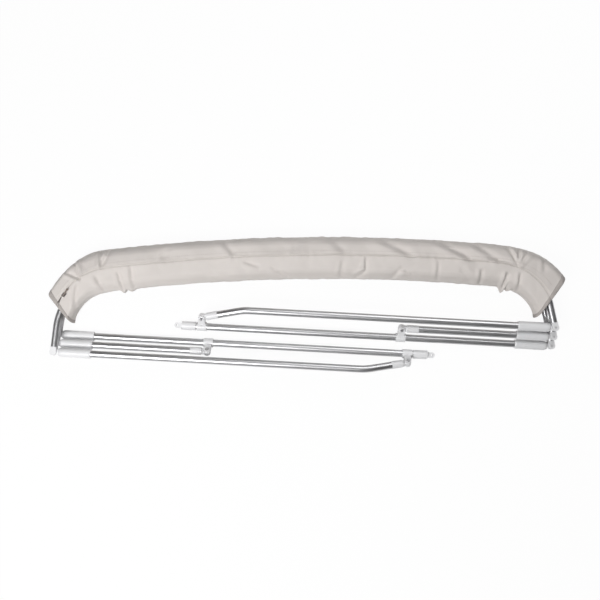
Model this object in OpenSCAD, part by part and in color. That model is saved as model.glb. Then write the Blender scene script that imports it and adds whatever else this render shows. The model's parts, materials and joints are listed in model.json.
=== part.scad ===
// Three-bow folding sun canopy (bimini top) for a boat, stowed in its zipped boot.
// The part lies flat. X runs along the boot, Y points to the crowns, Z is up.

/* [Tubes] */
// Outer diameter of every bow and leg tube
tube_od = 25; // [22:0.5:26]
// Wall of the tubes
tube_wall = 1.2; // [1:0.1:2]

/* [Bows] */
// Half the distance between a bow's two knuckle pins
bow_half_w = 886; // [860:1:960]
// Height of the crown above the knuckle pins
bow_rise = 293; // [285:1:320]
// Radius of the bent corners
corner_r = 200; // [180:1:205]
// Slope of the crown where it meets the corner, in degrees
crown_slope = 6; // [5.5:0.1:6.5]
// How far the bow ends lean outward, in degrees
splay = 8.5; // [6:0.5:10]
// Height between the planes of neighbouring bows
layer_pitch = 27; // [26.8:0.1:30]
// In-plane offset between neighbouring knuckles
stagger = 31.7; // [30:0.1:34]

/* [Legs] */
// Length of a main leg from its knuckle pin to the tip of its eye end
main_leg_len = 1355; // [1345:1:1420]
// Distance from the knuckle pin to the middle leg's jaw bolt
mid_jaw_at = 540; // [480:1:600]
// Distance from the knuckle pin to the rear leg's jaw bolt
rear_jaw_at = 1252; // [1200:1:1254]
// Length over which the bent end of a rear leg runs back to its jaw
rear_bend_len = 150; // [120:1:200]
// Angle by which the folded legs lean toward the crowns, in degrees
leg_lean = 3.9; // [2:0.1:4.5]

/* [Knuckles and sleeves] */
// Distance from a knuckle pin to the end of the bow tube
tube_setback = 18; // [17.5:0.5:24]
// Radius of the knuckle pins
pin_r = 3; // [2.5:0.1:4]
// Radius of the round knuckle ears
ear_r = 12; // [10:0.5:12.4]
// Thickness of the tongue between the ears
tongue_t = 13; // [8:0.5:14]
// Length of a locking sleeve
sleeve_len = 112; // [90:1:120]
// Outer diameter of a locking sleeve
sleeve_od = 33; // [32:0.5:34]
// Distance from a knuckle pin to the near end of the parked sleeve
sleeve_at = 20; // [19.5:0.5:30]

/* [Leg fittings] */
// Length of a jaw slide's ring
jaw_len = 34; // [28:1:40]
// Outer diameter of a jaw slide's ring
jaw_od = 32; // [30:0.5:32.5]
// Radius of the round end of a fitting's tongue
eye_r = 12; // [9:0.5:12.4]
// Radius of the jaw bolts
bolt_r = 3; // [2.5:0.1:4]
// Thickness of the tongue held in a jaw
jaw_tongue_t = 9; // [6:0.5:12]
// Length of the barrel of an end fitting
fitting_len = 40; // [30:1:50]
// Radius of the hole in an eye end
eye_hole_r = 3.25; // [2.5:0.05:4.2]
// Thickness of the tongue of an eye end
eye_tongue_t = 10; // [6:0.5:12]

/* [Boot] */
// Width of the boot across the crowns
boot_w = 150; // [146:1:170]
// Width of the boot at its mouths
mouth_w = 112; // [106:1:126]
// Height of the boot
boot_h = 95; // [94:0.5:110]
// Thickness of the boot's cloth as packed
boot_t = 3; // [2:0.5:3.5]
// Slant of the mouths against the bows, in degrees
mouth_slant = 33; // [20:1:36]
// Width of the zip with its tapes
zip_w = 16; // [12:1:24]
// Travel of the slider from where it is parked to the mouth
slider_travel = 20; // [5:1:25]

/* [Hidden] */
running = 0.06;          // radial clearance of pins, spigots and sleeves
side_gap = 0.3;          // gap beside a tongue
rod_r = tube_od / 2;
bore_r = rod_r - tube_wall;
base_z = sleeve_od / 2;  // height of the lowest bow's plane
levels = [0, 1, 2];      // main, middle and rear bow, counted upward
curve_fn = 360;

// Bow centreline: a flat crown arc, a corner arc and a straight end
corner_reach = corner_r * (cos(splay) - sin(crown_slope));
corner_drop = corner_r * (cos(crown_slope) - sin(splay));
rest_x = bow_half_w - corner_reach;
rest_y = bow_rise - corner_drop;
crown_sag = 1 - cos(crown_slope);
path_det = sin(crown_slope) * cos(splay) - crown_sag * sin(splay);
crown_r = (rest_x * cos(splay) - rest_y * sin(splay)) / path_det;
end_len = (sin(crown_slope) * rest_y - crown_sag * rest_x) / path_det;
corner_c = [(crown_r - corner_r) * sin(crown_slope),
            -crown_r + (crown_r - corner_r) * cos(crown_slope)];
swing = asin(stagger / bow_half_w);
splice_gap = 25;         // room for the main bow's left half to shift
splice_len = 60;
splice_r = 3;
splice_fit = 0.2;
plug_len = 30;
block_at = ear_r + 1.2;   // where the solid part of a fork starts
plug_at = ear_r + 5;      // where the round part of a plug starts

// Leg bundle: main, middle and rear leg side by side in one tilted plane
leg_perp = stagger * cos(leg_lean);
leg_shift = -stagger * sin(leg_lean);
pin_draw = bow_half_w * (1 - cos(swing)); // how far a turned bow draws its pins in
leg_pitch = sqrt(pow(leg_perp, 2) + pow(layer_pitch, 2));
leg_tilt = atan(layer_pitch / leg_perp);
leg_begin = 24;
bend_angle = atan(leg_pitch / rear_bend_len);
bend_r = 150;
bend_tan = bend_r * tan(bend_angle / 2);
rear_bend_at = rear_jaw_at - rear_bend_len;
eye_barrel = 50;
eye_tongue_len = 27;
eye_hole_back = 10;
jaw_ear_t = 5;
jaw_side = jaw_tongue_t / 2 + side_gap;
jaw_w = 2 * (jaw_side + jaw_ear_t);

// Boot path
crown_len = crown_r * crown_slope * PI / 180;
corner_len = corner_r * (90 - crown_slope - splay) * PI / 180;
mouth_len = crown_len + corner_len - 36;
taper_len = 220;
boot_steps = 26;
section_n = 28;
hem_len = 14;
roll_gap = 6;            // room between the rolls and the shifting bows
roll_inset = 5;          // room between the rolls and the cloth above and below

// ---- Placement ----

// Puts a bow, drawn about the middle of its crown, in its own plane and turn
module in_bow(level) {
  translate([0, -bow_rise, base_z + level * layer_pitch])
    rotate([0, 0, (level - 1) * swing])
      translate([0, bow_rise, 0])
        children();
}

// Puts a knuckle half with its pin at the origin and its tube along +Y
module at_bow_end(level, side) {
  in_bow(level)
    translate([side * bow_half_w, -bow_rise, 0])
      rotate([0, 0, side * splay])
        children();
}

// Position of a knuckle pin in its bow's own plane
function pin_xy(level, side) =
  let (a = (level - 1) * swing, x = side * bow_half_w)
    [x * cos(a), -bow_rise + x * sin(a)];

// Direction of the folded legs of one side
function leg_angle(side) = side < 0 ? -leg_lean : 180 - leg_lean;

// Puts a leg part with its knuckle pin at the origin and its leg along +X, upright
module at_leg(level, side) {
  translate([pin_xy(level, side).x, pin_xy(level, side).y, base_z + level * layer_pitch])
    rotate([0, 0, leg_angle(side)])
      children();
}

// Puts a leg part in the tilted plane of its bundle: neighbours lie along Y
module in_bundle(level, side) {
  at_leg(level, side)
    rotate([-leg_tilt, 0, 0])
      children();
}

// ---- Shapes ----

module rod(r, from, to) {
  translate([from, 0, 0])
    rotate([0, 90, 0])
      cylinder(r = r, h = to - from, $fn = 96);
}

module tube(from, to) {
  difference() {
    rod(rod_r, from, to);
    rod(bore_r, from - 1, to + 1);
  }
}

module ring_profile(r, hollow = true) {
  translate([r, 0])
    difference() {
      circle(r = rod_r, $fn = 96);
      if (hollow) circle(r = bore_r, $fn = 96);
    }
}

// Crown arc between two angles from its middle, positive to the right
module crown_arc(from, to) {
  translate([0, -crown_r, 0])
    rotate([0, 0, 90 - to])
      rotate_extrude(angle = to - from, $fn = curve_fn)
        ring_profile(crown_r);
}

// Right corner and straight end of a bow tube
module bow_shoulder() {
  translate([corner_c.x, corner_c.y, 0])
    rotate([0, 0, splay])
      rotate_extrude(angle = 90 - crown_slope - splay, $fn = curve_fn)
        ring_profile(corner_r);
  translate([bow_half_w, -bow_rise, 0])
    rotate([0, 0, 90 + splay])
      tube(tube_setback, end_len);
}

// Right half of a bow tube, starting a distance from the middle of the crown
module half_bow(start) {
  crown_arc(asin(start / crown_r), crown_slope);
  bow_shoulder();
}

// Rod that lines up the two halves of a bow, with a plug seated in the right half
module splice(gap) {
  rod(splice_r, -splice_len, 1);
  rod(bore_r - splice_fit, gap, gap + 14);
  rod(splice_r, 0, gap + 1);
}

// Forked knuckle half that plugs into a bow end
module fork() {
  ear_in = tongue_t / 2 + side_gap;
  difference() {
    union() {
      cylinder(r = ear_r, h = tube_od - 0.4, center = true, $fn = 64);
      translate([-ear_r + 1, 0, -rod_r + 0.2])
        cube([2 * ear_r - 2, tube_setback, tube_od - 0.4]);
      rotate([0, 0, 90]) rod(bore_r - running, tube_setback - 1, tube_setback + plug_len);
    }
    translate([-2 * ear_r, -2 * ear_r, -ear_in])
      cube([4 * ear_r, 2 * ear_r + block_at, 2 * ear_in]);
    cylinder(r = pin_r + running, h = 2 * tube_od, center = true, $fn = 48);
  }
}

// Tongued knuckle half that plugs into a leg
module plug() {
  difference() {
    union() {
      cylinder(r = ear_r - 0.4, h = tongue_t, center = true, $fn = 64);
      translate([0, -ear_r + 3, -tongue_t / 2]) cube([plug_at + 2, 2 * ear_r - 6, tongue_t]);
      rod(rod_r - 0.2, plug_at, leg_begin);
      rod(bore_r - running, leg_begin - 1, leg_begin + plug_len);
    }
    cylinder(r = pin_r + running, h = 2 * tube_od, center = true, $fn = 48);
  }
}

module pin() {
  cylinder(r = pin_r, h = tube_od - 0.4, center = true, $fn = 48);
}

// Locking sleeve, turned: a straight body with a rounded-down outer end
module sleeve() {
  inner = rod_r + running;
  outer = sleeve_od / 2;
  translate([sleeve_at, 0, 0])
    rotate([0, 90, 0])
      rotate_extrude($fn = 96)
        polygon([[inner, 0], [outer - 2.5, 0], [outer - 0.8, 3], [outer, 10],
                 [outer, sleeve_len - 4], [outer - 1.5, sleeve_len], [inner, sleeve_len]]);
}

// Jaw slide on the main leg, its ears reaching out along -Y to a bolt
module jaw(at, shift) {
  translate([at + shift, 0, 0]) {
    difference() {
      union() {
        rod(jaw_od / 2, -jaw_len / 2, jaw_len / 2);
        for (s = [-1, 1])
          translate([0, 0, s > 0 ? jaw_side : -jaw_side - jaw_ear_t]) {
            translate([-eye_r, -leg_pitch, 0]) cube([2 * eye_r, leg_pitch, jaw_ear_t]);
            translate([0, -leg_pitch, 0]) cylinder(r = eye_r, h = jaw_ear_t, $fn = 64);
          }
      }
      rod(rod_r + running, -jaw_len, jaw_len);
      translate([0, -leg_pitch, 0])
        cylinder(r = bolt_r + running, h = 2 * jaw_w, center = true, $fn = 48);
    }
  }
}

// Bolt with a domed head and a hex nut, along Z
module jaw_bolt() {
  seat = jaw_side + jaw_ear_t;
  cylinder(r = bolt_r, h = 2 * seat + 2, center = true, $fn = 48);
  translate([0, 0, seat]) cylinder(r = 2 * bolt_r, h = 3, $fn = 48);
  translate([0, 0, -seat - 4]) cylinder(r = 1.9 * bolt_r, h = 4, $fn = 6);
}

// End fitting: tongue with its bolt hole at the origin, barrel and spigot along -X
module end_fitting() {
  barrel_at = jaw_od / 2 + 4;
  difference() {
    union() {
      cylinder(r = eye_r - 0.5, h = jaw_tongue_t, center = true, $fn = 64);
      translate([-barrel_at - 1, -eye_r + 1, -jaw_tongue_t / 2])
        cube([barrel_at + 1, 2 * eye_r - 2, jaw_tongue_t]);
      rod(rod_r + 1, -barrel_at - fitting_len, -barrel_at);
      rod(bore_r - running, -barrel_at - fitting_len - plug_len, -barrel_at - fitting_len + 1);
    }
    cylinder(r = bolt_r + running, h = 2 * tube_od, center = true, $fn = 48);
  }
}

// Distance from the bolt of an end fitting to the end of its tube
fitting_back = jaw_od / 2 + 4 + fitting_len;

// Eye end of a main leg, its hole upright
module eye_end() {
  hole_at = main_leg_len - eye_hole_back;
  tongue_at = main_leg_len - eye_tongue_len;
  barrel_from = tongue_at - eye_barrel;
  difference() {
    union() {
      rod(jaw_od / 2 - 0.5, barrel_from, tongue_at);
      rod(bore_r - running, barrel_from - plug_len, barrel_from + 1);
      translate([tongue_at - 1, -eye_hole_back, -eye_tongue_t / 2])
        cube([eye_tongue_len - eye_hole_back + 1, 2 * eye_hole_back, eye_tongue_t]);
      translate([hole_at, 0, 0])
        cylinder(r = eye_hole_back, h = eye_tongue_t, center = true, $fn = 64);
    }
    translate([hole_at, 0, 0])
      cylinder(r = eye_hole_r, h = 2 * tube_od, center = true, $fn = 48);
  }
}

// Rear leg: straight, then bent across by one pitch to reach its jaw
module rear_leg() {
  tube(leg_begin, rear_bend_at - bend_tan);
  translate([rear_bend_at - bend_tan, bend_r, 0])
    rotate([0, 0, -90])
      rotate_extrude(angle = bend_angle, $fn = curve_fn)
        ring_profile(bend_r);
  translate([rear_bend_at, 0, 0])
    rotate([0, 0, bend_angle])
      tube(bend_tan, norm([rear_bend_len, leg_pitch]) - fitting_back);
}

// ---- Boot ----

// Point and heading of the boot's centreline at a signed distance from the middle
function path_at(s) =
  let (d = abs(s), side = s < 0 ? -1 : 1,
       on_crown = d < crown_len,
       a = on_crown ? 90 - d / crown_r * 180 / PI
                    : max(splay, 90 - crown_slope - (d - crown_len) / corner_r * 180 / PI),
       over = max(0, d - crown_len - corner_len),
       p = on_crown ? [crown_r * cos(a), crown_r * (sin(a) - 1)]
                    : corner_c + corner_r * [cos(a), sin(a)] + over * [sin(a), -cos(a)])
    [side * p.x, p.y, side < 0 ? 180 - a : a];

function ramp(x) = let (t = min(1, max(0, x))) t * t * (3 - 2 * t);
function mouth_share(s) = ramp(1 - (mouth_len - abs(s)) / taper_len);
function width_at(s) = boot_w + (mouth_w - boot_w) * mouth_share(s);
function skew_at(s) = (s < 0 ? -1 : 1) * mouth_slant * mouth_share(s);

// A point across the boot: u is the distance from the centreline, away from the legs
function across(s, u, z) =
  let (p = path_at(s), k = skew_at(s), r = u / cos(k))
    [p.x + r * cos(p.z + k), p.y + r * sin(p.z + k), z];

// Rounded section of the boot with a flat underside
function soft(v, e) = (v < 0 ? -1 : 1) * pow(abs(v), e);
function boot_ring(s, inset) =
  [for (i = [0 : section_n - 1])
    let (a = 360 * i / section_n, w = width_at(s) / 2 - inset, h = boot_h - 2 * inset)
      across(s, w * soft(cos(a), 0.45),
             inset + h * max(0, min(1, 0.5 + 0.56 * soft(sin(a), 0.5))))];

// Faces of a ring stack, wound for rings that turn left about the heading
function skin(rings, n, first, flip) =
  [for (r = [0 : rings - 2], i = [0 : n - 1])
    let (a = first + r * n + i, b = first + r * n + (i + 1) % n, c = b + n, d = a + n)
      flip ? [a, b, c, d] : [d, c, b, a]];

module soft_tube(outer, inner) {
  n = section_n;
  rings = len(outer);
  m = rings * n;
  caps = [for (i = [0 : n - 1]) let (j = (i + 1) % n) [i, j, m + j, m + i]];
  ends = [for (i = [0 : n - 1]) let (j = (i + 1) % n, e = (rings - 1) * n)
            [e + j, e + i, m + e + i, m + e + j]];
  polyhedron([for (r = outer, p = r) p, for (r = inner, p = r) p],
             concat(skin(rings, n, 0, false), skin(rings, n, m, true), caps, ends));
}

module soft_bar(rings) {
  n = len(rings[0]);
  last = (len(rings) - 1) * n;
  polyhedron([for (r = rings, p = r) p],
             concat(skin(len(rings), n, 0, false),
                    [[for (i = [0 : n - 1]) i]],
                    [[for (i = [n - 1 : -1 : 0]) last + i]]));
}

function stations(from, to, steps) = [for (i = [0 : steps]) from + (to - from) * i / steps];

module boot_piece(from, to, steps, outset, inset) {
  at = stations(from, to, steps);
  soft_tube([for (s = at) boot_ring(s, -outset)], [for (s = at) boot_ring(s, inset)]);
}

module boot_shell() {
  color([0.76, 0.74, 0.71])
    boot_piece(-mouth_len + hem_len, mouth_len - hem_len, 2 * boot_steps, 0, boot_t);
}

module boot_hem(side) {
  color([0.36, 0.33, 0.31])
    boot_piece(side < 0 ? -mouth_len : mouth_len - hem_len,
               side < 0 ? -mouth_len + hem_len : mouth_len, 2, 0, boot_t);
}

module boot_hem_left() boot_hem(-1);
module boot_hem_right() boot_hem(1);

zip_t = 1.2;
zip_from = -mouth_len + hem_len + 4;
zip_to = mouth_len - hem_len - 4;
slider_at = -mouth_len + hem_len + 4 + slider_travel + 12;

module boot_zip() {
  color([0.70, 0.68, 0.64])
    soft_bar([for (s = stations(zip_from, zip_to, 2 * boot_steps))
      [across(s, -zip_w / 2, boot_h), across(s, zip_w / 2, boot_h),
       across(s, zip_w / 2, boot_h + zip_t), across(s, -zip_w / 2, boot_h + zip_t)]]);
}

// Roll of folded cloth beside the bows; side 1 lies away from the legs
module canopy_roll(side) {
  n = 12;
  roll_w = boot_w / 2 - boot_t - 2 - (stagger + rod_r + roll_gap);
  mid_u = side * (stagger + rod_r + roll_gap + roll_w / 2);
  reach = crown_len - 30;
  color([0.78, 0.76, 0.72])
    soft_bar([for (s = stations(-reach, reach, 24))
      [for (i = [0 : n - 1])
        let (a = 360 * i / n)
          across(s, mid_u + roll_w / 2 * soft(cos(a), 0.7),
                 boot_h / 2 + (boot_h / 2 - boot_t - roll_inset) * soft(sin(a), 0.7))]]);
}

module canopy_roll_upper() canopy_roll(1);
module canopy_roll_lower() canopy_roll(-1);

// ---- Zip slider ----

module at_slider() {
  p = path_at(slider_at);
  translate([p.x, p.y, boot_h + zip_t + side_gap])
    rotate([0, 0, p.z + 90])
      children();
}

slider_w = 12;
slider_l = 14;
slider_h = 4;
pull_r = 1.2;
pull_axis = [slider_l / 2 - 3, 0, slider_h + 2.5];

module zip_slider() {
  color([0.85, 0.85, 0.86])
    at_slider() {
      difference() {
        union() {
          translate([-slider_l / 2, -slider_w / 2, 0]) cube([slider_l, slider_w, slider_h]);
          for (s = [-1, 1])
            translate([pull_axis.x - 2.5, s * 4 - 1, slider_h - 1]) cube([5, 2, 6]);
        }
        translate(pull_axis)
          rotate([90, 0, 0])
            cylinder(r = pull_r + running, h = 2 * slider_w, center = true, $fn = 32);
      }
    }
}

module zip_pull() {
  color([0.45, 0.40, 0.36])
    at_slider()
      translate(pull_axis) {
        rotate([90, 0, 0]) cylinder(r = pull_r, h = 10, center = true, $fn = 32);
        translate([-26, -2.4, -pull_r]) cube([26, 4.8, 2 * pull_r]);
        translate([-26, 0, -pull_r]) cylinder(r = 4, h = 2 * pull_r, $fn = 32);
      }
}

// ---- Bows ----

module alloy() color([0.72, 0.72, 0.73]) children();
module nylon() color([0.88, 0.88, 0.88]) children();
module steel() color([0.62, 0.63, 0.65]) children();

module mid_bow_left() alloy() in_bow(1) mirror([1, 0, 0]) half_bow(1);
module mid_bow_right() alloy() in_bow(1) half_bow(1);
module main_bow_right() alloy() in_bow(0) half_bow(splice_gap);
module rear_bow_right() alloy() in_bow(2) half_bow(1);
module main_bow_left() alloy() in_bow(0) mirror([1, 0, 0]) half_bow(1);
module rear_bow_left() alloy() in_bow(2) mirror([1, 0, 0]) half_bow(1);
module main_bow_splice() steel() in_bow(0) splice(splice_gap);
module mid_bow_splice() steel() in_bow(1) splice(2);
module rear_bow_splice() steel() in_bow(2) splice(2);

module main_fork_left() nylon() at_bow_end(0, -1) fork();
module mid_fork_left() nylon() at_bow_end(1, -1) fork();
module rear_fork_left() nylon() at_bow_end(2, -1) fork();
module main_fork_right() nylon() at_bow_end(0, 1) fork();
module mid_fork_right() nylon() at_bow_end(1, 1) fork();
module rear_fork_right() nylon() at_bow_end(2, 1) fork();

// ---- Legs ----

module main_plug_left() nylon() at_leg(0, -1) plug();
module mid_plug_left() nylon() at_leg(1, -1) plug();
module rear_plug_left() nylon() at_leg(2, -1) plug();
module main_plug_right() nylon() at_leg(0, 1) plug();
module mid_plug_right() nylon() at_leg(1, 1) plug();
module rear_plug_right() nylon() at_leg(2, 1) plug();

module knuckle_pins(side) steel() for (level = levels) at_leg(level, side) pin();
module knuckle_pins_left() knuckle_pins(-1);
module knuckle_pins_right() knuckle_pins(1);

module main_leg(side)
  alloy() at_leg(0, side) tube(leg_begin, main_leg_len - eye_tongue_len - eye_barrel);
module mid_leg(side) alloy() in_bundle(1, side) tube(leg_begin, mid_jaw_at - fitting_back);
module main_leg_left() main_leg(-1);
module main_leg_right() main_leg(1);
module mid_leg_left() mid_leg(-1);
module mid_leg_right() mid_leg(1);
module rear_leg_left() alloy() in_bundle(2, -1) rear_leg();
module rear_leg_right() alloy() in_bundle(2, 1) rear_leg();

module main_sleeve_left() nylon() at_leg(0, -1) sleeve();
module mid_sleeve_left() nylon() at_leg(1, -1) sleeve();
module rear_sleeve_left() nylon() at_leg(2, -1) sleeve();
module main_sleeve_right() nylon() at_leg(0, 1) sleeve();
module mid_sleeve_right() nylon() at_leg(1, 1) sleeve();
module rear_sleeve_right() nylon() at_leg(2, 1) sleeve();

// Jaws sit on the main leg opposite the bolts of the legs that they carry
module mid_jaw(side) nylon() in_bundle(0, side) jaw(mid_jaw_at, -leg_shift - pin_draw);
module rear_jaw(side) nylon() in_bundle(0, side) jaw(rear_jaw_at, -2 * leg_shift);
module mid_jaw_left() mid_jaw(-1);
module rear_jaw_left() rear_jaw(-1);
module mid_jaw_right() mid_jaw(1);
module rear_jaw_right() rear_jaw(1);

module mid_fitting(side) nylon() in_bundle(1, side) translate([mid_jaw_at, 0, 0]) end_fitting();
module rear_fitting(side)
  nylon() in_bundle(2, side)
    translate([rear_jaw_at, leg_pitch, 0]) rotate([0, 0, bend_angle]) end_fitting();
module mid_fitting_left() mid_fitting(-1);
module rear_fitting_left() rear_fitting(-1);
module mid_fitting_right() mid_fitting(1);
module rear_fitting_right() rear_fitting(1);

// Each bolt is seated on the ears of its own jaw
module jaw_bolts(side)
  steel()
    in_bundle(0, side) {
      translate([mid_jaw_at - leg_shift - pin_draw, -leg_pitch, 0]) jaw_bolt();
      translate([rear_jaw_at - 2 * leg_shift, -leg_pitch, 0]) jaw_bolt();
    }
module jaw_bolts_left() jaw_bolts(-1);
module jaw_bolts_right() jaw_bolts(1);

module eye_end_left() nylon() at_leg(0, -1) eye_end();
module eye_end_right() nylon() at_leg(0, 1) eye_end();

boot_shell();
boot_zip();
boot_hem_left();
boot_hem_right();
canopy_roll_upper();
canopy_roll_lower();
mid_bow_left();
mid_bow_right();
main_bow_right();
rear_bow_right();
main_bow_left();
rear_bow_left();
main_bow_splice();
mid_bow_splice();
rear_bow_splice();
main_fork_left();
mid_fork_left();
rear_fork_left();
main_fork_right();
mid_fork_right();
rear_fork_right();
main_plug_left();
mid_plug_left();
rear_plug_left();
main_plug_right();
mid_plug_right();
rear_plug_right();
knuckle_pins_left();
knuckle_pins_right();
main_leg_left();
mid_leg_left();
rear_leg_left();
main_leg_right();
mid_leg_right();
rear_leg_right();
main_sleeve_left();
mid_sleeve_left();
rear_sleeve_left();
main_sleeve_right();
mid_sleeve_right();
rear_sleeve_right();
mid_jaw_left();
rear_jaw_left();
mid_jaw_right();
rear_jaw_right();
mid_fitting_left();
rear_fitting_left();
mid_fitting_right();
rear_fitting_right();
jaw_bolts_left();
jaw_bolts_right();
eye_end_left();
eye_end_right();
zip_slider();
zip_pull();
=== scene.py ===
"""Looks of a folding boat canopy: three tube bows, folded legs and a zipped cloth boot."""
import json
import logging
import math
from dataclasses import dataclass, field
from enum import Enum

import bpy
from mathutils import Euler, Matrix, Vector, noise


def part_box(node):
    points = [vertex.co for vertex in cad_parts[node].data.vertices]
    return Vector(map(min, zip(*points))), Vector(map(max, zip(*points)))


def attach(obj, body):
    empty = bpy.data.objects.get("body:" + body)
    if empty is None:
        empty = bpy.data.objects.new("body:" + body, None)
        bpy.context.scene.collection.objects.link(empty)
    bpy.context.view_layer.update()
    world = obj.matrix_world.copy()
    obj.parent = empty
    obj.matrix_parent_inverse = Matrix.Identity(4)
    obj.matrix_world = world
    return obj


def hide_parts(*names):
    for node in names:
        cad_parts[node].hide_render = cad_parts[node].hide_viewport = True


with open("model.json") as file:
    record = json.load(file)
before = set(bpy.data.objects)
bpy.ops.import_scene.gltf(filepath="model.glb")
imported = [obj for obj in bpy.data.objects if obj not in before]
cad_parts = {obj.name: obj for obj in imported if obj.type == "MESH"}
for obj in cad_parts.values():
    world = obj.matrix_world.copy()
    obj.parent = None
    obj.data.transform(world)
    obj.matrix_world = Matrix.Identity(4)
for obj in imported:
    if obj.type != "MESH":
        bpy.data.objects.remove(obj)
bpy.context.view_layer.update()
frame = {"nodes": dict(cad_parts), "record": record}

MM = 0.001
log = logging.getLogger("canopy")


class Side(Enum):
    """Side of the canopy, as the sign of X."""
    LEFT = -1
    RIGHT = 1

    @property
    def word(self) -> str:
        """Name of the side as the nodes write it."""
        return self.name.lower()


# ---- Shader effects ----

def new_group(name: str, inputs: dict[str, float], outputs: list[str]) -> bpy.types.NodeTree:
    """Starts a shader node group.

    Args:
        name: Name of the group.
        inputs: Float inputs and their defaults.
        outputs: Float outputs.

    Returns:
        The group, with its input and output nodes named in and out.
    """
    group = bpy.data.node_groups.new(name, "ShaderNodeTree")
    for key, value in inputs.items():
        socket = group.interface.new_socket(key, in_out="INPUT", socket_type="NodeSocketFloat")
        socket.default_value = value
    for key in outputs:
        group.interface.new_socket(key, in_out="OUTPUT", socket_type="NodeSocketFloat")
    group.nodes.new("NodeGroupInput").name = "in"
    group.nodes.new("NodeGroupOutput").name = "out"
    return group


def math_node(tree: bpy.types.NodeTree, operation: str, a: object, b: object) -> bpy.types.NodeSocket:
    """Adds a math node.

    Args:
        tree: Tree that gets the node.
        operation: Blender's name of the operation.
        a: First operand, a socket or a number.
        b: Second operand, a socket or a number.

    Returns:
        The node's output socket.
    """
    node = tree.nodes.new("ShaderNodeMath")
    node.operation = operation
    for slot, value in zip(node.inputs, (a, b)):
        if isinstance(value, bpy.types.NodeSocket):
            tree.links.new(value, slot)
        else:
            slot.default_value = value
    return node.outputs[0]


def noise_node(tree: bpy.types.NodeTree, scale: object, detail: float,
               stretch: tuple[float, float, float]) -> bpy.types.NodeSocket:
    """Adds noise on object coordinates, stretched by a Mapping node.

    Args:
        tree: Tree that gets the nodes.
        scale: Noise scale, a socket or a number.
        detail: Octaves of the noise.
        stretch: Scale of the coordinates along each axis.

    Returns:
        The noise value socket.
    """
    place = tree.nodes.new("ShaderNodeTexCoord")
    mapping = tree.nodes.new("ShaderNodeMapping")
    mapping.inputs["Scale"].default_value = stretch
    tex = tree.nodes.new("ShaderNodeTexNoise")
    tex.inputs["Detail"].default_value = detail
    tree.links.new(place.outputs["Object"], mapping.inputs["Vector"])
    tree.links.new(mapping.outputs["Vector"], tex.inputs["Vector"])
    if isinstance(scale, bpy.types.NodeSocket):
        tree.links.new(scale, tex.inputs["Scale"])
    else:
        tex.inputs["Scale"].default_value = scale
    return tex.outputs["Fac"]


def weave_effect() -> bpy.types.NodeTree:
    """Builds the plain weave: crossing threads, fuzz and slow blotches.

    Returns:
        The shader group.
    """
    group = new_group("weave", {"Threads": 1400.0, "Blotch": 9.0}, ["Height", "Mask"])
    source, sink = group.nodes["in"], group.nodes["out"]
    waves = []
    for axis in ("X", "Y"):
        place = group.nodes.new("ShaderNodeTexCoord")
        wave = group.nodes.new("ShaderNodeTexWave")
        wave.bands_direction = axis
        wave.inputs["Distortion"].default_value = 0.6
        group.links.new(place.outputs["Object"], wave.inputs["Vector"])
        group.links.new(source.outputs["Threads"], wave.inputs["Scale"])
        waves.append(wave.outputs["Fac"])
    crossed = math_node(group, "MULTIPLY", waves[0], waves[1])
    fuzz = noise_node(group, 320.0, 3.0, (1, 1, 1))
    height = math_node(group, "ADD", crossed, math_node(group, "MULTIPLY", fuzz, 0.5))
    group.links.new(height, sink.inputs["Height"])
    group.links.new(noise_node(group, source.outputs["Blotch"], 4.0, (1, 1, 1)), sink.inputs["Mask"])
    return group


def grain_effect() -> bpy.types.NodeTree:
    """Builds fine drawn lines along X with rubbed patches.

    Returns:
        The shader group.
    """
    group = new_group("drawn_grain", {"Lines": 60.0, "Rub": 14.0}, ["Height", "Mask"])
    source, sink = group.nodes["in"], group.nodes["out"]
    group.links.new(noise_node(group, source.outputs["Lines"], 2.0, (0.2, 12, 12)), sink.inputs["Height"])
    group.links.new(noise_node(group, source.outputs["Rub"], 3.0, (1, 1, 1)), sink.inputs["Mask"])
    return group


@dataclass(frozen=True)
class Finish:
    """A surface finish: two colours mixed by an effect's mask, and the effect's height as bump."""
    name: str
    light: tuple[float, float, float]
    dark: tuple[float, float, float]
    roughness: float
    metallic: float = 0.0
    coat: float = 0.0
    sheen: float = 0.0
    bump: float = 0.1
    effect: str = "weave"
    settings: tuple[tuple[str, float], ...] = ()

    def build(self, effects: dict[str, bpy.types.NodeTree]) -> bpy.types.Material:
        """Makes the material.

        Args:
            effects: Shader groups by name.

        Returns:
            The material.
        """
        material = bpy.data.materials.new(self.name)
        material.use_nodes = True
        tree = material.node_tree
        shader = tree.nodes["Principled BSDF"]
        shader.inputs["Metallic"].default_value = self.metallic
        shader.inputs["Coat Weight"].default_value = self.coat
        shader.inputs["Sheen Weight"].default_value = self.sheen
        effect = tree.nodes.new("ShaderNodeGroup")
        effect.node_tree = effects[self.effect]
        for key, value in self.settings:
            effect.inputs[key].default_value = value
        mix = tree.nodes.new("ShaderNodeMix")
        mix.data_type = "RGBA"
        mix.inputs[6].default_value = (*self.dark, 1)
        mix.inputs[7].default_value = (*self.light, 1)
        tree.links.new(effect.outputs["Mask"], mix.inputs["Factor"])
        tree.links.new(mix.outputs[2], shader.inputs["Base Color"])
        rough = math_node(tree, "MULTIPLY", effect.outputs["Mask"], 0.12)
        tree.links.new(math_node(tree, "ADD", rough, self.roughness - 0.06), shader.inputs["Roughness"])
        bump = tree.nodes.new("ShaderNodeBump")
        bump.inputs["Strength"].default_value = self.bump
        bump.inputs["Distance"].default_value = MM * 0.4
        tree.links.new(effect.outputs["Height"], bump.inputs["Height"])
        tree.links.new(bump.outputs["Normal"], shader.inputs["Normal"])
        return material


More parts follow.
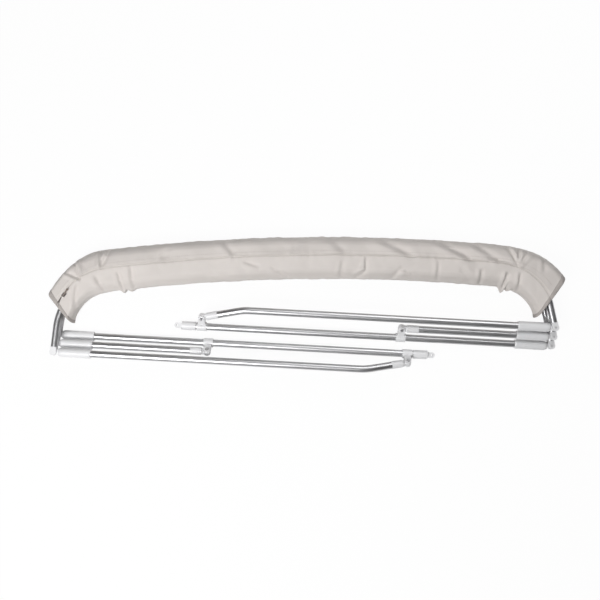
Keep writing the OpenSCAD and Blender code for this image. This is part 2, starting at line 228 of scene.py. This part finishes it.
CANVAS = Finish("beige_canvas", (0.70, 0.655, 0.625), (0.63, 0.59, 0.56), 0.85, sheen=0.15, bump=0.35)
# Near-black painted shade: the colour of the boot's inside, its cut edges and the open zip slit, where the
# boot is in shade.
INSIDE_SHADE = Finish("painted_inside_shade", (0.13, 0.11, 0.10), (0.08, 0.07, 0.065), 0.9, bump=0.35)
ROLLED = Finish("rolled_canvas", (0.50, 0.46, 0.43), (0.42, 0.39, 0.36), 0.88, sheen=0.1, bump=0.35)
BINDING = Finish("edge_binding", (0.50, 0.46, 0.435), (0.40, 0.37, 0.35), 0.8, bump=0.4,
                 settings=(("Threads", 1900.0),))
THREAD = Finish("sewing_thread", (0.60, 0.56, 0.52), (0.50, 0.46, 0.43), 0.7, bump=0.2)
ALLOY = Finish("drawn_alloy", (0.62, 0.62, 0.63), (0.55, 0.55, 0.56), 0.38, metallic=1.0, bump=0.008,
               effect="drawn_grain")
NYLON = Finish("white_nylon", (0.80, 0.80, 0.81), (0.74, 0.74, 0.75), 0.42, coat=0.15, bump=0.05,
               effect="drawn_grain", settings=(("Lines", 25.0), ("Rub", 22.0)))
STEEL = Finish("screw_steel", (0.82, 0.82, 0.83), (0.70, 0.70, 0.71), 0.36, metallic=1.0, bump=0.08,
               effect="drawn_grain")
PLATED = Finish("plated_zinc", (0.88, 0.87, 0.86), (0.74, 0.73, 0.72), 0.18, metallic=1.0, bump=0.04,
                effect="drawn_grain")
TAB = Finish("pull_tab", (0.26, 0.21, 0.18), (0.18, 0.145, 0.125), 0.5, bump=0.1, effect="drawn_grain")


class Finishes:
    """Every material of the object, built once."""

    def __init__(self) -> None:
        """Builds the effects and the materials."""
        effects = {"weave": weave_effect(), "drawn_grain": grain_effect()}
        kinds = (CANVAS, INSIDE_SHADE, ROLLED, BINDING, THREAD, ALLOY, NYLON, STEEL, PLATED, TAB)
        self.made = {kind.name: kind.build(effects) for kind in kinds}

    def dress(self, piece: bpy.types.Object, *kinds: Finish) -> None:
        """Gives a piece its finishes.

        Args:
            piece: Piece to dress.
            kinds: Finish of each material slot.
        """
        piece.data.materials.clear()
        for kind in kinds:
            piece.data.materials.append(self.made[kind.name])


# ---- Mesh helpers ----

def deselect() -> None:
    """Clears the selection, so that operators act on new pieces only."""
    bpy.ops.object.select_all(action="DESELECT")


def make_active(piece: bpy.types.Object) -> None:
    """Selects one piece alone and makes it active.

    Args:
        piece: The piece.
    """
    deselect()
    piece.select_set(True)
    bpy.context.view_layer.objects.active = piece


def mesh_piece(name: str, points: list[Vector], faces: list[tuple[int, ...]]) -> bpy.types.Object:
    """Makes a piece from computed points.

    Args:
        name: Name of the piece.
        points: Vertex positions in metres.
        faces: Vertex indices of each face.

    Returns:
        The piece, smooth shaded and at the origin.
    """
    mesh = bpy.data.meshes.new(name)
    mesh.from_pydata([tuple(p) for p in points], [], faces)
    mesh.update()
    piece = bpy.data.objects.new(name, mesh)
    bpy.context.scene.collection.objects.link(piece)
    mesh.shade_smooth()
    return piece


def apply_modifier(piece: bpy.types.Object, kind: str, **values: object) -> None:
    """Adds a modifier, sets it and applies it.

    Args:
        piece: Piece that is changed.
        kind: Blender's name of the modifier.
        values: Settings of the modifier.
    """
    make_active(piece)
    modifier = piece.modifiers.new(kind.lower(), kind)
    for key, value in values.items():
        setattr(modifier, key, value)
    bpy.ops.object.modifier_apply(modifier=modifier.name)


def outward(piece: bpy.types.Object) -> None:
    """Recalculates the normals of a piece so that they face outwards.

    Args:
        piece: The piece.
    """
    make_active(piece)
    bpy.ops.object.mode_set(mode="EDIT")
    bpy.ops.mesh.select_all(action="SELECT")
    bpy.ops.mesh.normals_make_consistent(inside=False)
    bpy.ops.object.mode_set(mode="OBJECT")


def loft_faces(rings: int, count: int, closed: bool = True) -> list[tuple[int, int, int, int]]:
    """Quads between neighbouring rings of points.

    Args:
        rings: Number of rings.
        count: Points in each ring.
        closed: Whether each ring closes on itself.

    Returns:
        The faces.
    """
    span = count if closed else count - 1
    starts = [r * count for r in range(rings - 1)]
    return [(a + i, a + count + i, a + count + (i + 1) % count, a + (i + 1) % count)
            for a in starts for i in range(span)]


# ---- The curve that the boot follows ----

@dataclass(frozen=True)
class BowPath:
    """Centreline of the bows: a flat crown arc, a bent corner and a straight end."""
    half_width: float = 886 * MM
    rise: float = 293 * MM
    corner_r: float = 200 * MM
    crown_slope: float = 6.0
    splay: float = 8.5

    @property
    def crown_r(self) -> float:
        """Radius of the crown arc."""
        slope, lean = math.radians(self.crown_slope), math.radians(self.splay)
        rest_x = self.half_width - self.corner_r * (math.cos(lean) - math.sin(slope))
        rest_y = self.rise - self.corner_r * (math.cos(slope) - math.sin(lean))
        sag = 1 - math.cos(slope)
        share = math.sin(slope) * math.cos(lean) - sag * math.sin(lean)
        return (rest_x * math.cos(lean) - rest_y * math.sin(lean)) / share

    @property
    def crown_len(self) -> float:
        """Half the length of the crown arc."""
        return self.crown_r * math.radians(self.crown_slope)

    @property
    def corner_len(self) -> float:
        """Length of a corner arc."""
        return self.corner_r * math.radians(90 - self.crown_slope - self.splay)

    def at(self, s: float) -> tuple[Vector, float]:
        """Point and outward heading of the centreline.

        Args:
            s: Signed distance from the middle of the crown.

        Returns:
            The point, and the angle in degrees of the side away from the legs.
        """
        d, side = abs(s), -1 if s < 0 else 1
        slope = math.radians(self.crown_slope)
        if d < self.crown_len:
            turn = math.pi / 2 - d / self.crown_r
            point = Vector((self.crown_r * math.cos(turn), self.crown_r * (math.sin(turn) - 1), 0))
        else:
            bent = (d - self.crown_len) / self.corner_r
            turn = max(math.radians(self.splay), math.pi / 2 - slope - bent)
            reach = self.crown_r - self.corner_r
            hub = Vector((reach * math.sin(slope), -self.crown_r + reach * math.cos(slope), 0))
            over = max(0.0, d - self.crown_len - self.corner_len)
            point = hub + self.corner_r * Vector((math.cos(turn), math.sin(turn), 0))
            point += over * Vector((math.sin(turn), -math.cos(turn), 0))
        point.x *= side
        heading = math.degrees(turn)
        return point, 180 - heading if side < 0 else heading


@dataclass(frozen=True)
class Fold:
    """A crease in the cloth between two places, given along and across the boot in millimetres."""
    start: tuple[float, float]
    end: tuple[float, float]
    depth: float = 4.0
    width: float = 9.0

    def lift(self, s: float, u: float) -> float:
        """Height that the fold adds at a place, in millimetres: a groove with a raised lip.

        Args:
            s: Distance along the boot.
            u: Distance across the boot.

        Returns:
            The height.
        """
        ax, ay = self.start
        bx, by = self.end
        dx, dy = bx - ax, by - ay
        length = math.hypot(dx, dy)
        t = ((s - ax) * dx + (u - ay) * dy) / length ** 2
        off = ((s - ax) * dy - (u - ay) * dx) / length
        fade = max(0.0, 1 - max(0.0, abs(t - 0.5) - 0.35) / 0.3)
        groove = math.exp(-(off / self.width) ** 2)
        lip = math.exp(-((off - 1.7 * self.width) / (1.2 * self.width)) ** 2)
        return fade * self.depth * (0.7 * lip - groove)


FOLDS = (
    Fold((-796, 0), (-796, 74), 6.5, 5), Fold((-845, 64), (-800, 4), 5.5, 5),
    Fold((-708, 76), (-713, 8), 5, 5), Fold((-676, 76), (-713, 10), 5.5, 6),
    Fold((-762, 70), (-772, 24), 3.5, 8), Fold((-609, -4), (-609, -78), 4.5, 8),
    Fold((-655, -20), (-650, -80), 6, 6), Fold((-816, -14), (-880, -72), 4.5, 8),
    Fold((-740, -16), (-725, -78), 3.5, 9), Fold((-111, -38), (-50, -74), 3.5, 8),
    Fold((-210, -10), (-160, -30), 3, 8), Fold((-330, -45), (-270, -60), 2.5, 10),
    Fold((-280, 66), (-240, 12), 3, 12), Fold((-470, 60), (-500, 14), 2.5, 12),
    Fold((222, -2), (222, -48), 4, 6), Fold((222, -48), (180, -76), 4, 6),
    Fold((310, -76), (350, -36), 3.5, 8), Fold((350, -36), (420, -70), 3, 9),
    Fold((140, -20), (132, -70), 2.5, 8), Fold((480, -10), (478, -66), 2.5, 7),
    Fold((267, 66), (385, 10), 4, 13), Fold((476, 66), (600, 8), 5, 12),
    Fold((590, 70), (690, 16), 4.5, 11), Fold((632, -26), (634, -78), 4.5, 7),
    Fold((753, 12), (747, 76), 6, 5), Fold((748, 14), (705, 76), 5.5, 6),
    Fold((756, 12), (782, 62), 5, 6), Fold((745, 10), (640, 20), 3, 8),
    Fold((775, -14), (790, -74), 4.5, 7), Fold((728, -30), (722, -82), 6.5, 7),
    Fold((600, -70), (560, -30), 3, 10), Fold((830, 66), (850, 30), 3, 8),
    Fold((90, 72), (150, 14), 2.5, 14), Fold((10, 70), (-40, 20), 2, 14),
)


@dataclass
class Boot:
    """The zipped cloth boot, its bound mouths, zip and the canopy rolled up inside it."""
    finishes: Finishes
    path: BowPath = field(default_factory=BowPath)
    width: float = 147 * MM
    mouth_width: float = 111 * MM
    height: float = 98 * MM
    tube_top: float = 87 * MM
    mouth_flare: float = 0.6
    cloth: float = 2.2 * MM
    mouth_slant: float = 33.0
    taper: float = 220 * MM
    seam_at: float = 5.0
    roof: float = 0.05
    eaves: float = 0.22
    slackness: float = 1.6
    rings: int = 420
    mouth_back: float = 36 * MM
    stitch_step: float = 7 * MM
    stitch_len: float = 4.2 * MM
    stitch_rows: tuple[float, float] = (9.0, 20.0)
    stitch_from: float = 24 * MM
    coil_r: float = 0.55 * MM
    coil_steps: int = 700
    slit_len: float = 38 * MM
    slit_steps: int = 16
    bed_z: float = 95 * MM
    bed_len: float = 66 * MM
    bed_half: float = 12 * MM
    roll_at: float = 60.8 * MM
    roll_half: float = 7 * MM
    roll_back: float = 30 * MM

    @property
    def mouth(self) -> float:
        """Distance along the boot from its middle to a mouth."""
        return self.path.crown_len + self.path.corner_len - self.mouth_back

    def mouth_share(self, s: float) -> float:
        """How far the boot has changed toward its mouth.

        Args:
            s: Distance along the boot.

        Returns:
            The share, from 0 to 1.
        """
        t = min(1.0, max(0.0, 1 - (self.mouth - abs(s)) / self.taper))
        return t * t * (3 - 2 * t)

    def across(self, s: float, u: float, z: float) -> Vector:
        """Place of a point on the boot.

        Args:
            s: Distance along the boot.
            u: Distance across it, away from the legs.
            z: Height.

        Returns:
            The position.
        """
        point, heading = self.path.at(s)
        skew = (-1 if s < 0 else 1) * self.mouth_slant * self.mouth_share(s)
        reach = u / math.cos(math.radians(skew))
        if s > 0 and u > 0:
            reach *= 1 + self.mouth_flare * self.mouth_share(s)
        angle = math.radians(heading + skew)
        return Vector((point.x + reach * math.cos(angle), point.y + reach * math.sin(angle), z))

    def half_width(self, s: float) -> float:
        """Half the boot's width at a place along it.

        Args:
            s: Distance along the boot.

        Returns:
            Half the width.
        """
        return (self.width + (self.mouth_width - self.width) * self.mouth_share(s)) / 2

    def slack(self, s: float, u: float) -> float:
        """Height of the creases and the slow waves in the cloth, in millimetres.

        Args:
            s: Distance along the boot in millimetres.
            u: Distance across the boot in millimetres.

        Returns:
            The height.
        """
        creases = sum(fold.lift(s, u) for fold in FOLDS)
        slow = 3.2 * noise.noise(Vector((s / 95, u / 60, 1.5)))
        quick = 1.4 * noise.noise(Vector((s / 34, u / 40, 7.2)))
        near = abs(u - self.seam_at)
        pucker = 0.5 * math.sin(s / 5.5 + 2 * math.sin(s / 37)) * math.exp(-(near / 14) ** 2)
        return creases + (slow + quick) + pucker

    def seam(self, u: float) -> float:
        """Step and groove where the flap covers the zip.

        Args:
            u: Distance across the boot in millimetres.

        Returns:
            The height in millimetres.
        """
        off = u - self.seam_at
        flap = 2.6 / (1 + math.exp(-off * 1.6))
        fall = math.exp(-(max(0.0, off) / 30) ** 2)
        return flap * fall - 2.4 * math.exp(-(off / 3.0) ** 2)

    def crown(self, u: float) -> float:
        """Share of the height that the roof keeps: nearly flat over the tubes, falling beyond them.

        Args:
            u: Distance across the boot in millimetres.

        Returns:
            The share.
        """
        over_tubes = min(1.0, abs(u) / 42)
        beyond = max(0.0, abs(u) - 42) / 31
        return 1 - self.roof * over_tubes - self.eaves * beyond ** 1.3

    def turns(self) -> list[float]:
        """Angles round the section at which the cloth gets its points, close together beside the zip.

        Returns:
            The angles in radians, from the side away from the legs over the top and round.
        """
        flat = 0.94
        seam = self.seam_at * MM / (self.width / 2)
        shares = [flat * (1 - 2 * k / 38) for k in range(39)] + [seam + 0.028 * (k - 7.5) for k in range(16)]
        shares.sort(reverse=True)
        corner = math.sin(math.acos(flat ** 2)) ** 0.55
        rise = [math.asin((corner * k / 7) ** (1 / 0.55)) for k in range(7)]
        upper = [math.acos(math.copysign(share ** 2, share)) for share in shares]
        lower = [2 * math.pi - math.acos(math.copysign(share ** 2, share))
                 for share in (flat * (2 * k / 22 - 1) for k in range(23))]
        left = [math.pi - t for t in reversed(rise)] + [math.pi + t for t in rise[1:]]
        return rise + upper + left + lower + [2 * math.pi - t for t in reversed(rise[1:])]

    def edge_run(self, s: float, side: int) -> float:
        """How far the outline steps out or in at a place, in millimetres.

        Args:
            s: Distance along the boot in millimetres.
            side: 1 away from the legs, -1 toward them.

        Returns:
            The step.
        """
        run = 2.2 * noise.noise(Vector((s / 70, 3.0 * side, 0.4)))
        run += 1.3 * noise.noise(Vector((s / 19, side, 9.1)))
        if side < 0:
            for middle, depth in ((-650, 9.0), (728, 13.0)):
                run -= depth * math.exp(-((s - middle) / 11) ** 2)
                run += 0.6 * depth * math.exp(-((s - middle - 26) / 14) ** 2)
        return run

    def skin_point(self, s: float, turn: float, inset: float) -> Vector:
        """A point of the cloth.

        Args:
            s: Distance along the boot.
            turn: Angle round the section in radians, 0 away from the legs.
            inset: Distance inside the outer surface.

        Returns:
            The position.
        """
        cos, sin = math.cos(turn), math.sin(turn)
        across = math.copysign(abs(cos) ** 0.5, cos)
        up = min(1.0, max(0.0, 0.5 + 0.56 * math.copysign(abs(sin) ** 0.55, sin)))
        half = self.half_width(s) - inset
        u = half * across
        top = max(0.0, min(1.0, 2.2 * (up - 0.45)))
        s_mm, u_mm = s / MM, u / MM
        calm = self.slackness * (1 - 0.5 * self.mouth_share(s))
        crown = self.crown(u_mm)
        lift = (calm * self.slack(s_mm, u_mm) + self.seam(u_mm)) * top * MM
        edge = abs(across) ** 3 * calm * (1 - abs(2 * up - 1) ** 4)
        rim = self.edge_run(s_mm, 1 if u > 0 else -1) * edge * MM
        z = inset + (self.height - 2 * inset) * up * (1 + top * (crown - 1)) + lift
        if top > 0.9 and abs(u_mm) < 48:
            z = max(z, self.tube_top - inset)
        z = min(z, self.slider_bed(s, u) - inset)
        return self.across(s, u + math.copysign(rim, u), max(z, inset, 0.0))

    def slider_bed(self, s: float, u: float) -> float:
        """Height that the cloth stays under, so that the zip slider runs clear of it.

        Args:
            s: Distance along the boot.
            u: Distance across the boot.

        Returns:
            The height.
        """
        past = max(0.0, s + self.mouth - self.bed_len)
        aside = max(0.0, abs(u) - self.bed_half)
        return self.bed_z + 0.3 * past + 0.4 * aside

    def shell(self) -> bpy.types.Object:
        """Models the boot's cloth, with near-black painted shade on its inside and cut edges as a second
        material.
        """
        mouth = self.mouth - 3 * MM
        turns = self.turns()
        points = []
        for ring in range(self.rings + 1):
            s = mouth * (2 * ring / self.rings - 1)
            points += [self.skin_point(s, turn, 0.0) for turn in turns]
        piece = mesh_piece("boot_cloth", points, loft_faces(self.rings + 1, len(turns)))
        outward(piece)
        # The inside and the rims get the second material: near-black painted shade.
        apply_modifier(piece, "SOLIDIFY", thickness=self.cloth, offset=-1.0, material_offset=1,
                       material_offset_rim=1)
        self.finishes.dress(piece, CANVAS, INSIDE_SHADE)
        return piece

    def sweep(self, name: str, centres: list[Vector], radius: float) -> bpy.types.Object:
        """Sweeps a round thread along points.

        Args:
            name: Name of the piece.
            centres: Points along the thread.
            radius: Radius of the thread.

        Returns:
            The piece.
        """
        curve = bpy.data.curves.new(name, "CURVE")
        curve.dimensions = "3D"
        curve.bevel_depth = radius
        curve.bevel_resolution = 1
        curve.use_fill_caps = True
        spline = curve.splines.new("POLY")
        spline.points.add(len(centres) - 1)
        for point, centre in zip(spline.points, centres):
            point.co = (*centre, 1)
        piece = bpy.data.objects.new(name, curve)
        bpy.context.scene.collection.objects.link(piece)
        make_active(piece)
        bpy.ops.object.convert(target="MESH")
        piece = bpy.context.object
        piece.data.shade_smooth()
        return piece

    def hem(self, side: Side) -> bpy.types.Object:
        """Models the bound edge of a mouth as a folded strip with a rolled lip.

        Args:
            side: Side of the canopy.

        Returns:
            The piece.
        """
        mouth = self.mouth * side.value
        rows = []
        profile = ((-15, 0.9), (-14.5, 1.6), (-8, 1.7), (-3, 1.9), (-0.8, 1.2), (0, 0.3),
                   (-0.8, -0.7), (-5, -1.2), (-12, -1.3))
        turns = self.turns()
        for turn in turns:
            row = []
            for back, out in profile:
                s = mouth + side.value * back * MM
                row.append(self.skin_point(s, turn, -(out - 1.4) * MM))
            rows += row
        faces = loft_faces(len(turns), len(profile), closed=False)
        last = (len(turns) - 1) * len(profile)
        faces += [(last + k, k, k + 1, last + k + 1) for k in range(len(profile) - 1)]
        piece = mesh_piece(f"hem_{side.word}", rows, faces)
        outward(piece)
        apply_modifier(piece, "SOLIDIFY", thickness=0.8 * MM, offset=0.0)
        self.finishes.dress(piece, BINDING)
        return piece

    def stitches(self) -> bpy.types.Object:
        """Models the two rows of stitches that hold the zip flap."""
        points, faces = [], []
        total = int(2 * (self.mouth - self.stitch_from) / self.stitch_step)
        for row in self.stitch_rows:
            for k in range(total):
                s0 = -self.mouth + self.stitch_from + k * self.stitch_step
                first = len(points)
                for end in [self.top_point(s0 + t, row * MM) for t in (0.0, self.stitch_len)]:
                    for du, dz in ((-0.45, 0.1), (0.45, 0.1), (0.45, 0.75), (-0.45, 0.75)):
                        points.append(end + Vector((0, du * MM, dz * MM)))
                near, far = [first + i for i in range(4)], [first + 4 + i for i in range(4)]
                turned = [(i, (i + 1) % 4) for i in range(4)]
                faces += [(near[a], near[b], far[b], far[a]) for a, b in turned]
                faces += [tuple(reversed(near)), tuple(far)]
        piece = mesh_piece("flap_stitches", points, faces)
        outward(piece)
        self.finishes.dress(piece, THREAD)
        return piece

    def top_point(self, s: float, u: float) -> Vector:
        """A point on the boot's upper side.

        Args:
            s: Distance along the boot.
            u: Distance across the boot.

        Returns:
            The position.
        """
        share = min(0.999, abs(u) / self.half_width(s))
        turn = math.acos(math.copysign(share ** 2, u))
        return self.skin_point(s, turn, 0.0)

    def zip_coil(self) -> bpy.types.Object:
        """Models the closed coil of the zip as it shows in the groove beside the flap."""
        steps = self.coil_steps
        start, end = -self.mouth + 34 * MM, self.mouth - 20 * MM
        centres = []
        for k in range(steps + 1):
            s = start + (end - start) * k / steps
            wave = 1.0 * MM * (1 if k % 2 else -1)
            centres.append(self.top_point(s, self.seam_at * MM + wave) + Vector((0, 0, 0.5 * MM)))
        piece = self.sweep("zip_coil", centres, self.coil_r)
        self.finishes.dress(piece, THREAD)
        return piece

    def slit(self) -> bpy.types.Object:
        """Models the open end of the zip: a sheet of near-black painted shade sunk between the two edges."""
        steps = self.slit_steps
        start, end = -self.mouth + 1 * MM, -self.mouth + self.slit_len
        points = []
        for k in range(steps + 1):
            t = k / steps
            s = start + (end - start) * t
            half = (3.6 * (1 - t) + 1.0) * MM
            for share, low in ((-1.0, 0.4), (-0.5, -0.3), (0.0, -0.7), (0.5, -0.3), (1.0, 0.4)):
                place = self.top_point(s, self.seam_at * MM + share * half)
                points.append(place + Vector((0, 0, (low + 0.3) * MM)))
        piece = mesh_piece("zip_slit", points, loft_faces(steps + 1, 5, closed=False))
        outward(piece)
        apply_modifier(piece, "SOLIDIFY", thickness=0.8 * MM, offset=0.0)
        # Near-black painted shade fills the open slit.
        self.finishes.dress(piece, INSIDE_SHADE)
        return piece

    def roll(self, word: str, side: int) -> bpy.types.Object:
        """Models one roll of folded canopy cloth: layers pressed into pleats.

        Args:
            word: Name of the roll's node.
            side: 1 away from the legs, -1 toward them.

        Returns:
            The piece.
        """
        low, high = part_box(f"canopy_roll_{word}")
        reach = self.path.crown_len - self.roll_back
        middle = side * self.roll_at
        rings, count = 90, 48
        points = []
        for ring in range(rings + 1):
            s = reach * (2 * ring / rings - 1)
            for i in range(count):
                turn = 2 * math.pi * i / count
                pleat = 1 - 0.07 * abs(math.sin(4 * turn)) - 0.03 * math.sin(s / 0.05 + 3 * turn)
                across = math.copysign(abs(math.cos(turn)) ** 0.7, math.cos(turn))
                u = middle + self.roll_half * pleat * across
                z = (low[2] + high[2]) / 2 + 0.28 * (high[2] - low[2]) * pleat * math.sin(turn)
                points.append(self.across(s, u, z))
        faces = loft_faces(rings + 1, count)
        faces += [tuple(range(count)), tuple(rings * count + i for i in reversed(range(count)))]
        piece = mesh_piece(f"canopy_cloth_{word}", points, faces)
        outward(piece)
        self.finishes.dress(piece, ROLLED)
        return piece

    def build(self) -> None:
        """Builds the boot and hands its pieces to the frame."""
        shell = self.shell()
        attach(shell, "root")
        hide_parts("boot_shell")
        for side in Side:
            hem = self.hem(side)
            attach(hem, "root")
            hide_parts(f"boot_hem_{side.word}")
        coil = self.zip_coil()
        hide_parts("boot_zip")
        trims = ((coil, "zip_tape"), (self.stitches(), "boot_cloth"), (self.slit(), "boot_binding"))
        for piece, slot in trims:
            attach(piece, "root")
        for word, side in (("upper", 1), ("lower", -1)):
            roll = self.roll(word, side)
            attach(roll, "root")
            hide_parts(f"canopy_roll_{word}")
        log.info("boot built")

    @staticmethod
    def cloth_area(piece: bpy.types.Object) -> float:
        """Area of one face of a thin cloth piece.

        Args:
            piece: The piece.

        Returns:
            The area in square metres.
        """
        return sum(face.area for face in piece.data.polygons) / 2


# ---- Frame ----

@dataclass
class Frame:
    """The tube bows and legs with their fittings: the model's own nodes, and small screws."""
    finishes: Finishes
    half_width: float = 886 * MM
    rise: float = 293 * MM
    stagger: float = 31.7 * MM
    base: float = 16.5 * MM
    lean: float = 3.9
    mid_jaw_at: float = 542.2 * MM
    rear_jaw_at: float = 1256.3 * MM
    jaw_r: float = 16 * MM
    screw_r: float = 2.6 * MM
    screw_depth: float = 4 * MM
    screw_sunk: float = 1.2 * MM
    socket_wall: float = 1.1 * MM
    socket_depth: float = 1.6 * MM

    def main_pin(self, side: Side) -> Vector:
        """Place of the main bow's knuckle pin.

        Args:
            side: Side of the canopy.

        Returns:
            The middle of the pin.
        """
        turn = -math.asin(self.stagger / self.half_width)
        x = side.value * self.half_width
        return Vector((x * math.cos(turn), -self.rise + x * math.sin(turn), self.base))

    def along(self, side: Side) -> Vector:
        """Direction of the folded legs of a side.

        Args:
            side: Side of the canopy.

        Returns:
            The direction from the knuckle to the leg's free end.
        """
        angle = math.radians(-self.lean if side is Side.LEFT else 180 - self.lean)
        return Vector((math.cos(angle), math.sin(angle), 0))

    def dress_nodes(self) -> None:
        """Gives every node of the model that stays visible its finish."""
        by_slot = {"tube_alloy": ALLOY, "nylon": NYLON, "steel": STEEL,
                   "slider_metal": PLATED, "pull_tab": TAB}
        for row in frame["record"]["subparts"]:
            kind = by_slot.get(row["material_slot"])
            if kind:
                self.finishes.dress(frame["nodes"][row["node"]], kind)

    def screw(self, name: str, place: Vector, body: str) -> None:
        """Models a socket-head set screw standing in the top of a fitting.

        Args:
            name: Name of the piece.
            place: Middle of the screw's top.
            body: Body that carries it.
        """
        deselect()
        bpy.ops.mesh.primitive_cylinder_add(vertices=32, radius=self.screw_r, depth=self.screw_depth)
        piece = bpy.context.object
        piece.name = name
        bpy.ops.object.mode_set(mode="EDIT")
        bpy.ops.mesh.select_all(action="DESELECT")
        bpy.ops.object.mode_set(mode="OBJECT")
        for face in piece.data.polygons:
            face.select = face.normal.z > 0.9
        bpy.ops.object.mode_set(mode="EDIT")
        bpy.ops.mesh.inset(thickness=self.socket_wall)
        bpy.ops.mesh.extrude_region_move(TRANSFORM_OT_translate={"value": (0, 0, -self.socket_depth)})
        bpy.ops.object.mode_set(mode="OBJECT")
        piece.data.transform(Matrix.Translation(place - Vector((0, 0, self.screw_sunk))))
        apply_modifier(piece, "BEVEL", width=0.3 * MM, segments=2, limit_method="ANGLE")
        self.finishes.dress(piece, STEEL)
        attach(piece, body)

    def build(self) -> None:
        """Dresses the nodes and adds the set screws of the jaws."""
        self.dress_nodes()
        for side in Side:
            body = "left_legs" if side is Side.LEFT else "root"
            start, way = self.main_pin(side), self.along(side)
            for word, reach in (("mid", self.mid_jaw_at), ("rear", self.rear_jaw_at)):
                top = start + way * reach + Vector((0, 0, self.jaw_r))
                self.screw(f"{word}_jaw_screw_{side.word}", top, body)
        log.info("frame dressed")


# ---- Studio ----

@dataclass(frozen=True)
class Lamp:
    """A square soft lamp."""
    name: str
    place: tuple[float, float, float]
    size: float
    power: float


LAMPS = (Lamp("key", (-1.3, -1.6, 2.6), 1.6, 88), Lamp("fill", (0.9, 1.7, 2.4), 2.0, 40))


@dataclass
class Studio:
    """Floor, lights and camera."""
    target: tuple[float, float, float] = (-0.014, -0.150, 0.04)
    distance: float = 3.0
    elevation: float = 86.0
    roll: float = 0.7
    lens: float = 50.3
    sensor: float = 36.0
    floor_glow: float = 0.96
    sky_behind: float = 1.42
    sky_near: float = 1.72

    def floor(self) -> None:
        """Lays the pale floor that keeps the object's shadow."""
        deselect()
        bpy.ops.mesh.primitive_plane_add(size=14)
        floor = bpy.context.object
        floor.name = "studio_floor"
        floor.data.transform(Matrix.Translation((0, 0, -0.5 * MM)))
        material = bpy.data.materials.new("floor_white")
        material.use_nodes = True
        tree = material.node_tree
        shader = tree.nodes["Principled BSDF"]
        shader.inputs["Base Color"].default_value = (0.86, 0.86, 0.86, 1)
        shader.inputs["Roughness"].default_value = 0.9
        glow = tree.nodes.new("ShaderNodeEmission")
        glow.inputs["Color"].default_value = (1, 1, 1, 1)
        rays = tree.nodes.new("ShaderNodeLightPath")
        mix = tree.nodes.new("ShaderNodeMixShader")
        share = math_node(tree, "MULTIPLY", rays.outputs["Is Camera Ray"], self.floor_glow)
        tree.links.new(share, mix.inputs["Fac"])
        tree.links.new(shader.outputs["BSDF"], mix.inputs[1])
        tree.links.new(glow.outputs["Emission"], mix.inputs[2])
        tree.links.new(mix.outputs["Shader"], tree.nodes["Material Output"].inputs["Surface"])
        floor.data.materials.append(material)

    def hang(self, lamp: Lamp) -> None:
        """Adds a lamp aimed at the object.

        Args:
            lamp: The lamp.
        """
        light = bpy.data.lights.new(lamp.name, "AREA")
        light.size = lamp.size
        light.energy = lamp.power
        holder = bpy.data.objects.new(lamp.name, light)
        holder.location = lamp.place
        aim = Vector(self.target) - Vector(lamp.place)
        holder.rotation_euler = aim.to_track_quat("-Z", "Y").to_euler()
        bpy.context.scene.collection.objects.link(holder)

    def camera(self) -> None:
        """Places the camera almost straight above the object."""
        rise = math.radians(self.elevation)
        offset = Vector((0, -math.cos(rise), math.sin(rise))) * self.distance
        data = bpy.data.cameras.new("camera")
        data.lens = self.lens
        data.sensor_width = self.sensor
        camera = bpy.data.objects.new("camera", data)
        camera.location = Vector(self.target) + offset
        tilt = Euler((math.radians(90 - self.elevation), 0, 0)).to_matrix()
        camera.rotation_euler = (tilt @ Matrix.Rotation(math.radians(-self.roll), 3, "Z")).to_euler()
        bpy.context.scene.collection.objects.link(camera)
        bpy.context.scene.camera = camera

    def sky(self, tree: bpy.types.NodeTree) -> None:
        """Makes the world a soft dome that is brighter on the near side than behind the object.

        Args:
            tree: The world's node tree.
        """
        place = tree.nodes.new("ShaderNodeTexCoord")
        split = tree.nodes.new("ShaderNodeSeparateXYZ")
        ramp = tree.nodes.new("ShaderNodeMapRange")
        ramp.inputs["From Min"].default_value = 0.75
        ramp.inputs["From Max"].default_value = -0.35
        ramp.inputs["To Min"].default_value = self.sky_behind
        ramp.inputs["To Max"].default_value = self.sky_near
        tree.links.new(place.outputs["Generated"], split.inputs["Vector"])
        tree.links.new(split.outputs["Y"], ramp.inputs["Value"])
        tree.links.new(ramp.outputs["Result"], tree.nodes["Background"].inputs["Strength"])

    def build(self) -> None:
        """Sets up the world, the floor, the lamps and the camera."""
        scene = bpy.context.scene
        scene.view_settings.view_transform = "Standard"
        world = bpy.data.worlds.new("studio")
        world.use_nodes = True
        self.sky(world.node_tree)
        scene.world = world
        self.floor()
        for lamp in LAMPS:
            self.hang(lamp)
        self.camera()


def main() -> None:
    """Builds the studio, the frame and the boot."""
    logging.basicConfig(level=logging.INFO)
    finishes = Finishes()
    Studio().build()
    Frame(finishes).build()
    Boot(finishes).build()


if __name__ == "__main__":
    main()
